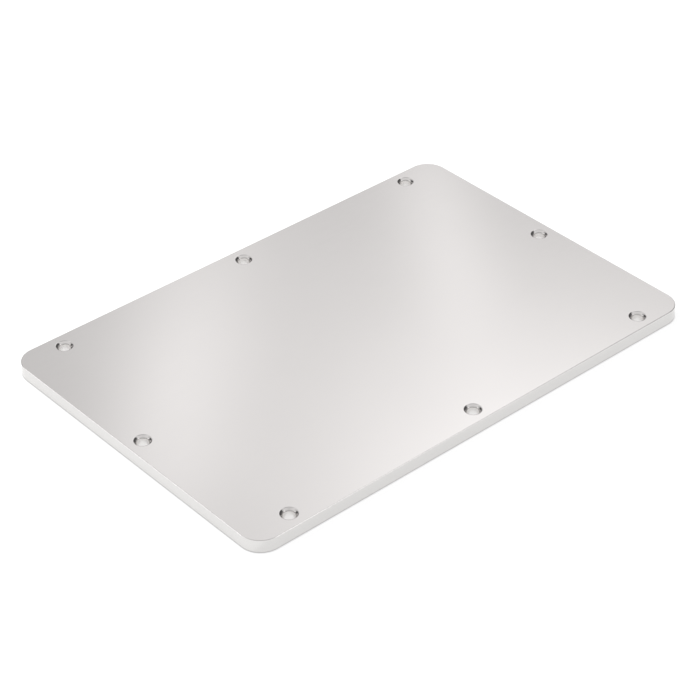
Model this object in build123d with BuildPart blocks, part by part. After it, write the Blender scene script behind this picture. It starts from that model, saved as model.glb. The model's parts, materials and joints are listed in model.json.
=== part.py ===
import os

from build123d import *

# Driving sizes, millimetres
plate_length = 236.0          # along X
plate_width = 160.0           # along Y
plate_thickness = 6.0         # along Z
corner_radius = 9.5           # upright corners of the outline
edge_round = 0.25             # break along the outline's top and bottom edges

screw_clearance_diameter = 5.3    # M5 screws, fine clearance
mouth_diameter = 7.2              # countersink, measured at the top face
mouth_angle = 90.0                # full angle of the countersink
mouth_round = 0.7                 # blend along both edges of the countersink
screw_margin = 7.25               # every hole's centre to the nearest long or short edge
corner_screw_setback = 21.5       # corner holes' centres to the short edge

# Screw pattern, worked out from the outline
row_spacing = plate_width - 2 * screw_margin
end_spacing = plate_length - 2 * screw_margin
corner_spacing = plate_length - 2 * corner_screw_setback
top_face = Plane.XY.offset(plate_thickness)


# One flat rectangular plate, cut from rolled sheet, with the origin at the centre of its underside
with BuildPart() as cover_plate:
    with BuildSketch():
        RectangleRounded(plate_length, plate_width, corner_radius)
    extrude(amount=plate_thickness)

    # The outline's edges are broken all round, on both faces
    flat_faces = cover_plate.faces().filter_by(Axis.Z)
    fillet(flat_faces.edges(), edge_round)

    # Screw holes: one near each corner, then one mid-way along each long side and each short side
    for spacing_x, spacing_y, count_x, count_y in (
        (corner_spacing, row_spacing, 2, 2),
        (0, row_spacing, 1, 2),
        (end_spacing, 0, 2, 1),
    ):
        with Locations(top_face):
            with GridLocations(spacing_x, spacing_y, count_x, count_y):
                CounterSinkHole(screw_clearance_diameter / 2, mouth_diameter / 2, counter_sink_angle=mouth_angle)

    # Both edges of each countersink are blended, so that no burr or sharp rim stands up round a screw
    cones = cover_plate.faces().filter_by(GeomType.CONE)
    fillet(cones.edges().filter_by(GeomType.CIRCLE), mouth_round)

cover_plate.part.label = "cover_plate"
os.makedirs("parts", exist_ok=True)
export_step(cover_plate.part, "parts/cover_plate.step")
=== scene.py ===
import json
from math import cos, radians, sin

import bpy
from mathutils import Matrix, Vector


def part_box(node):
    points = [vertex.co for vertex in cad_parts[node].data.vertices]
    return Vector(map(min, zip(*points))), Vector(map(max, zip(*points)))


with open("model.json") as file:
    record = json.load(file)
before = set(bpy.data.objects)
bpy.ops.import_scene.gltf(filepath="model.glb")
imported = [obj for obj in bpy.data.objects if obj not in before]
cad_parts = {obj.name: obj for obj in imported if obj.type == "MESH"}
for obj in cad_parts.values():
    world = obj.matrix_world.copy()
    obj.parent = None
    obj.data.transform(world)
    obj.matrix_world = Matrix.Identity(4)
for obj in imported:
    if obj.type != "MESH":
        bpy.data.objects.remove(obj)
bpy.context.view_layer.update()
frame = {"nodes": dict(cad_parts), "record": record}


# Cover plate
# One piece of 6 mm stainless sheet with a fine satin finish on both faces. Its outline is cut and then
# ground, which leaves it a little duller, and its eight screw holes are drilled and countersunk.

plate = frame["nodes"]["cover_plate"]
plate_low, plate_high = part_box("cover_plate")
plate_centre = (plate_low + plate_high) / 2
mounts = {mount["name"]: mount["dims"] for mount in frame["record"]["mounts"]}
hole_radius = mounts["corner_screws"]["hole_r_mm"] / 1000

satin_colour = (0.78, 0.755, 0.746, 1)
ground_colour = (0.69, 0.68, 0.67, 1)
drilled_colour = (0.90, 0.885, 0.875, 1)
satin_roughness = 0.09
ground_roughness = 0.18
drilled_roughness = 0.25

plate_steel = bpy.data.materials.new("plate_steel")
plate_steel.use_nodes = True
nodes = plate_steel.node_tree.nodes
links = plate_steel.node_tree.links
shader = nodes["Principled BSDF"]
shader.inputs["Metallic"].default_value = 1.0


def maths(operation, *values):
    """A Math node in the tree at hand; each value is a number or another node's output."""
    node = nodes.new("ShaderNodeMath")
    node.operation = operation
    for socket, value in zip(node.inputs, values):
        if isinstance(value, (int, float)):
            socket.default_value = value
        else:
            links.new(value, socket)
    return node.outputs[0]


def smooth_step(value, start, end, low=0.0, high=1.0):
    """A value that eases from low to high while another goes from start to end."""
    node = nodes.new("ShaderNodeMapRange")
    node.interpolation_type = "SMOOTHSTEP"
    for name, number in (("From Min", start), ("From Max", end), ("To Min", low), ("To Max", high)):
        node.inputs[name].default_value = number
    links.new(value, node.inputs["Value"])
    return node.outputs["Result"]


def dot(vector, axis):
    """The length of a vector along an axis."""
    node = nodes.new("ShaderNodeVectorMath")
    node.operation = "DOT_PRODUCT"
    links.new(vector, node.inputs[0])
    node.inputs[1].default_value = axis
    return node.outputs["Value"]


def noise(position, scale, detail):
    """Noise around 0.5, at a scale per metre."""
    node = nodes.new("ShaderNodeTexNoise")
    node.inputs["Scale"].default_value = scale
    node.inputs["Detail"].default_value = detail
    links.new(position, node.inputs["Vector"])
    return node.outputs["Fac"]


def blend(first, second, factor, kind="MIX"):
    """A mix of two colours; each is a constant or another node's output."""
    node = nodes.new("ShaderNodeMix")
    node.data_type = "RGBA"
    node.blend_type = kind
    for name, value in (("A", first), ("B", second), ("Factor", factor)):
        if isinstance(value, (tuple, float)):
            node.inputs[name].default_value = value
        else:
            links.new(value, node.inputs[name])
    return node.outputs["Result"]


def axes(vector):
    """A vector's three parts."""
    node = nodes.new("ShaderNodeSeparateXYZ")
    links.new(vector, node.inputs[0])
    return node.outputs


on_plate = nodes.new("ShaderNodeTexCoord").outputs
position = axes(on_plate["Object"])

# The pattern is the same in all four quarters of the plate, so one quarter's three holes stand for all.
quarter = nodes.new("ShaderNodeCombineXYZ")
for axis in ("X", "Y"):
    links.new(maths("ABSOLUTE", position[axis]), quarter.inputs[axis])
from_hole = 1.0
for dims in mounts.values():
    if "count" not in dims:
        continue
    span = nodes.new("ShaderNodeVectorMath")
    span.operation = "DISTANCE"
    links.new(quarter.outputs[0], span.inputs[0])
    span.inputs[1].default_value = (dims.get("spacing_x_mm", 0) / 2000, dims.get("spacing_y_mm", 0) / 2000, 0)
    from_hole = maths("MINIMUM", span.outputs["Value"], from_hole)
bore_blend = 0.0003
in_bore = smooth_step(from_hole, hole_radius + bore_blend, hole_radius)
face_slope, side_slope = 0.3, 0.1
upright = smooth_step(maths("ABSOLUTE", axes(on_plate["Normal"])["Z"]), face_slope, side_slope)
ground = maths("MULTIPLY", upright, maths("SUBTRACT", 1.0, in_bore))

# Rolling leaves faint clouds, and the satin belt leaves fine lines along the plate.
grain_scale, grain_detail, grain_stretch = 2600.0, 2.0, 0.04
cloud_scale, cloud_detail = 22.0, 3.0
grain_tone, cloud_tone, grain_roughness = 0.03, 0.03, 0.08
grain_space = nodes.new("ShaderNodeMapping")
grain_space.inputs["Scale"].default_value = (grain_stretch, 1.0, 1.0)
links.new(on_plate["Object"], grain_space.inputs["Vector"])
grain = noise(grain_space.outputs["Vector"], grain_scale, grain_detail)
clouds = noise(on_plate["Object"], cloud_scale, cloud_detail)

variation = maths("ADD", maths("MULTIPLY", clouds, cloud_tone), maths("MULTIPLY", grain, grain_tone))
shade = maths("ADD", variation, 1.0 - (cloud_tone + grain_tone) / 2)
colour = blend(satin_colour, ground_colour, ground)
colour = blend(colour, drilled_colour, in_bore)
links.new(blend(colour, shade, 1.0, "MULTIPLY"), shader.inputs["Base Color"])

roughness = satin_roughness
for change in (
    maths("MULTIPLY", ground, ground_roughness - satin_roughness),
    maths("MULTIPLY", in_bore, drilled_roughness - satin_roughness),
    maths("MULTIPLY", maths("SUBTRACT", grain, 0.5), grain_roughness),
):
    roughness = maths("ADD", roughness, change)
links.new(roughness, shader.inputs["Roughness"])

grain_depth = 0.00002
relief = nodes.new("ShaderNodeBump")
relief.inputs["Strength"].default_value = 0.08
relief.inputs["Distance"].default_value = grain_depth
links.new(grain, relief.inputs["Height"])
links.new(relief.outputs["Normal"], shader.inputs["Normal"])

plate.data.materials.clear()
plate.data.materials.append(plate_steel)


# Floor
# A plain white table, wide enough to fill the view. It shows as white as paper, both directly and in the
# steel, with a soft contact shadow at the plate's foot, partly cast by the lamp and tent and partly painted,
# as its glow is dimmed by ambient occlusion.

floor_reach = 6.0
floor_gap = 0.00005
floor_colour = (0.5, 0.5, 0.5, 1)
floor_glow = 0.73
contact_reach = 0.0006

floor_mesh = bpy.data.meshes.new("floor")
floor_mesh.from_pydata([(-floor_reach, -floor_reach, 0), (floor_reach, -floor_reach, 0),
                        (floor_reach, floor_reach, 0), (-floor_reach, floor_reach, 0)], [], [(0, 1, 2, 3)])
floor = bpy.data.objects.new("floor", floor_mesh)
bpy.context.scene.collection.objects.link(floor)
floor.location.z = plate_low.z - floor_gap

paper = bpy.data.materials.new("white_paper")
paper.use_nodes = True
nodes = paper.node_tree.nodes
links = paper.node_tree.links
nodes.clear()
lit = nodes.new("ShaderNodeBsdfDiffuse")
lit.inputs["Color"].default_value = floor_colour
contact_shade = nodes.new("ShaderNodeAmbientOcclusion")
contact_shade.inputs["Distance"].default_value = contact_reach
contact_shade.samples = 8
glow = nodes.new("ShaderNodeEmission")
# The glow is dimmed by ambient occlusion next to the plate: painted contact shade at the plate's foot.
links.new(maths("MULTIPLY", contact_shade.outputs["AO"], floor_glow), glow.inputs["Strength"])
both = nodes.new("ShaderNodeAddShader")
links.new(lit.outputs["BSDF"], both.inputs[0])
links.new(glow.outputs["Emission"], both.inputs[1])
output = nodes.new("ShaderNodeOutputMaterial")
links.new(both.outputs["Shader"], output.inputs["Surface"])
floor_mesh.materials.append(paper)


# Studio
# A light tent with a bright backdrop beyond the plate. Soft panels on the backdrop are the bright bands
# on the plate's face, low ones to the sides light its edges, and two dark flags draw the screw holes' rims.

world = bpy.data.worlds.new("studio")
bpy.context.scene.world = world
world.use_nodes = True
nodes = world.node_tree.nodes
links = world.node_tree.links
nodes.clear()

# Bearings are from the middle of the backdrop, to the right. The arch angle runs from the horizon
# beyond the plate, over the top at 90, to the horizon behind the camera at 180.
backdrop_azimuth = radians(41.0)
direction = nodes.new("ShaderNodeTexCoord").outputs["Generated"]
away = dot(direction, (sin(backdrop_azimuth), cos(backdrop_azimuth), 0))
sideways = dot(direction, (cos(backdrop_azimuth), -sin(backdrop_azimuth), 0))
skyward = dot(direction, (0, 0, 1))
bearing = maths("DEGREES", maths("ARCTAN2", sideways, away))
elevation = maths("DEGREES", maths("ARCSINE", skyward))
arch = maths("DEGREES", maths("ARCTAN2", skyward, away))


def soft_panel(panel_bearing, panel_elevation, width, height, brightness, lean=0.0):
    """A panel of light with soft edges, in degrees; lean shifts its upper end sideways."""
    across = maths("SUBTRACT", bearing, panel_bearing)
    upward = maths("SUBTRACT", elevation, panel_elevation)
    across = maths("SUBTRACT", across, maths("MULTIPLY", upward, lean))
    across = maths("POWER", maths("DIVIDE", across, width), 2)
    upward = maths("POWER", maths("DIVIDE", upward, height), 2)
    fade = maths("EXPONENT", maths("MULTIPLY", maths("ADD", across, upward), -0.5))
    return maths("MULTIPLY", fade, brightness)


def flag(left, right, foot, top, softness, depth):
    """What is left of the light behind a dark flag; its edges and their softness are in degrees."""
    across = maths("MULTIPLY", smooth_step(bearing, left - softness, left + softness),
                   smooth_step(bearing, right + softness, right - softness))
    upward = maths("MULTIPLY", smooth_step(elevation, foot - softness, foot + softness),
                   smooth_step(elevation, top + softness, top - softness))
    return maths("SUBTRACT", 1.0, maths("MULTIPLY", maths("MULTIPLY", across, upward), depth))


# The tent's own level changes along the arch, and evens out on both side walls.
horizon_level, backdrop_level, side_level = 0.60, 0.665, 0.75
light = smooth_step(arch, 12.0, 26.0, horizon_level, backdrop_level)
for start, end, change in ((50.0, 62.0, -0.23), (87.0, 101.0, 0.36), (125.0, 137.0, -0.28)):
    light = maths("ADD", light, smooth_step(arch, start, end, 0.0, change))
to_side = smooth_step(maths("ABSOLUTE", sideways), 0.75, 0.95)
light = maths("MULTIPLY", light, maths("SUBTRACT", 1.0, to_side))
light = maths("ADD", light, maths("MULTIPLY", to_side, side_level))
for panel in (
    dict(panel_bearing=-5.5, panel_elevation=36.8, width=1.5, height=3.2, brightness=0.29, lean=-0.27),
    dict(panel_bearing=2.7, panel_elevation=32.6, width=0.9, height=2.1, brightness=0.24, lean=0.3),
    dict(panel_bearing=11.1, panel_elevation=42.9, width=7.8, height=5.3, brightness=0.9, lean=0.62),
    dict(panel_bearing=-62.0, panel_elevation=58.0, width=22.0, height=10.0, brightness=0.65),
    dict(panel_bearing=62.0, panel_elevation=58.0, width=27.0, height=5.0, brightness=0.6),
    dict(panel_bearing=113.0, panel_elevation=7.0, width=6.0, height=4.5, brightness=3.6),
    dict(panel_bearing=-93.0, panel_elevation=7.0, width=8.0, height=4.5, brightness=3.0),
):
    light = maths("ADD", light, soft_panel(**panel))
for edges in (
    dict(left=18.0, right=84.0, foot=2.0, top=51.0, softness=2.5, depth=0.84),
    dict(left=-74.0, right=-16.0, foot=4.0, top=27.0, softness=3.0, depth=0.88),
):
    light = maths("MULTIPLY", light, flag(**edges))

tent = nodes.new("ShaderNodeBackground")
links.new(light, tent.inputs["Color"])
paper_white = nodes.new("ShaderNodeBackground")
paper_white.inputs["Color"].default_value = (1, 1, 1, 1)
path = nodes.new("ShaderNodeLightPath")
choose = nodes.new("ShaderNodeMixShader")
links.new(path.outputs["Is Camera Ray"], choose.inputs["Fac"])
links.new(tent.outputs["Background"], choose.inputs[1])
links.new(paper_white.outputs["Background"], choose.inputs[2])
output = nodes.new("ShaderNodeOutputWorld")
links.new(choose.outputs["Shader"], output.inputs["Surface"])

# A large lamp beyond the long side gives the floor the soft shadow in front of the plate.
lamp_light = bpy.data.lights.new("key_lamp", "AREA")
lamp_light.size = 0.5
lamp_light.energy = 8.5
lamp = bpy.data.objects.new("key_lamp", lamp_light)
lamp.location = (-0.12, 1.10, 0.78)
lamp.rotation_euler = (plate_centre - lamp.location).to_track_quat("-Z", "Y").to_euler()
lamp.visible_glossy = False
bpy.context.scene.collection.objects.link(lamp)


# Camera
# A long lens, looking down on the countersunk face over the left front corner.

camera_azimuth = -40.97
camera_elevation = 36.05
camera_roll = -0.65
camera_distance = 0.9506
aim = plate_centre + Vector((-0.0073, -0.0063, 0.0))

lens = bpy.data.cameras.new("camera")
lens.lens = 117.0
lens.sensor_width = 36.0
camera = bpy.data.objects.new("camera", lens)
bpy.context.scene.collection.objects.link(camera)
turn = (Matrix.Rotation(radians(camera_azimuth), 4, "Z")
        @ Matrix.Rotation(radians(90 - camera_elevation), 4, "X"))
camera.matrix_world = (Matrix.Translation(aim) @ turn @ Matrix.Translation((0, 0, camera_distance))
                       @ Matrix.Rotation(radians(camera_roll), 4, "Z"))
bpy.context.scene.camera = camera
bpy.context.scene.view_settings.view_transform = "Standard"
